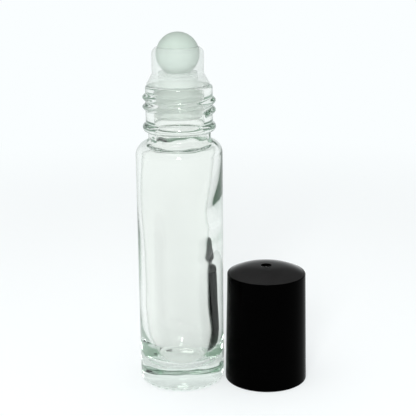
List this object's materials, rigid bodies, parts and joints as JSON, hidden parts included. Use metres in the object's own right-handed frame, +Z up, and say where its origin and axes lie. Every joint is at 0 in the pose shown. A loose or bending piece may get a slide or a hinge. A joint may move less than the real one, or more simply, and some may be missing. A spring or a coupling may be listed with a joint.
{
  "type": "roll-on perfume oil bottle",
  "caption": "Open roll-on bottle of clear glass with a ball in a plastic housing pressed into its neck, and its black screw cap standing beside it.",
  "frame": {"origin": "on the surface that the bottle and the cap stand on, midway between their outer sides", "axes": "+Z up along the bottle's axis, +X from the bottle's axis towards the cap's axis, +Y away from the camera of the picture"},
  "size_m": [0.0398, 0.02, 0.0828],
  "materials": {
    "clear_glass": "clear moulded glass with a faint green tint",
    "milky_plastic": "natural translucent moulded plastic, satin",
    "ball_glass": "smooth pale green glass",
    "black_plastic": "black moulded plastic, satin gloss"
  },
  "bodies": {
    "bottle": {"glass_bottle": "clear_glass", "ball_housing": "milky_plastic"},
    "ball": {"roller_ball": "ball_glass"},
    "cap": {"screw_cap": "black_plastic"}
  },
  "joints": [
    {"name": "ball_roll", "type": "hinge", "parent": "bottle", "child": "ball", "pos_m": [-0.00992, 0, 0.07785], "axis": [1, 0, 0], "continuous": true},
    {"name": "cap_lift", "type": "slide", "parent": "bottle", "child": "cap", "axis": [0, 0, 1], "range_m": [0, 0.088]}
  ]
}
